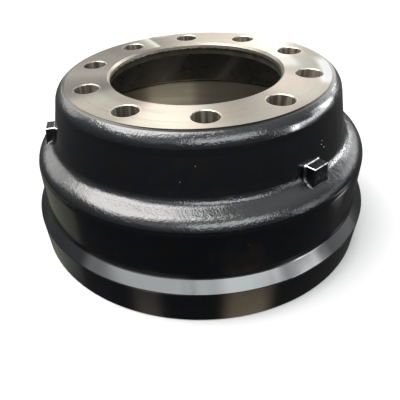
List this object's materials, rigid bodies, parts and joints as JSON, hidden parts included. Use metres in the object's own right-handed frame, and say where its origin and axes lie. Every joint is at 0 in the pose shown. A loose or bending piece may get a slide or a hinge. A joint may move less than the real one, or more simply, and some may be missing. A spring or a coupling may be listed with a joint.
{
  "type": "brake drum",
  "caption": "Deep one-piece cast brake drum: a flanged neck with a ring of stud holes round a pilot bore, a sloping shoulder, a turned brake bore and a thick rim.",
  "frame": {"origin": "centre of the open rim's flat face", "axes": "+Z along the drum's axis, from the open rim to the mounting face; +X through a stud hole and the lug in line with it"},
  "size_m": [0.4804, 0.4806, 0.212],
  "materials": {
    "cast_iron": "black painted casting, with the mounting face, bores and rim turned bare"
  },
  "bodies": {
    "root": {"brake_drum": "cast_iron"}
  },
  "joints": []
}
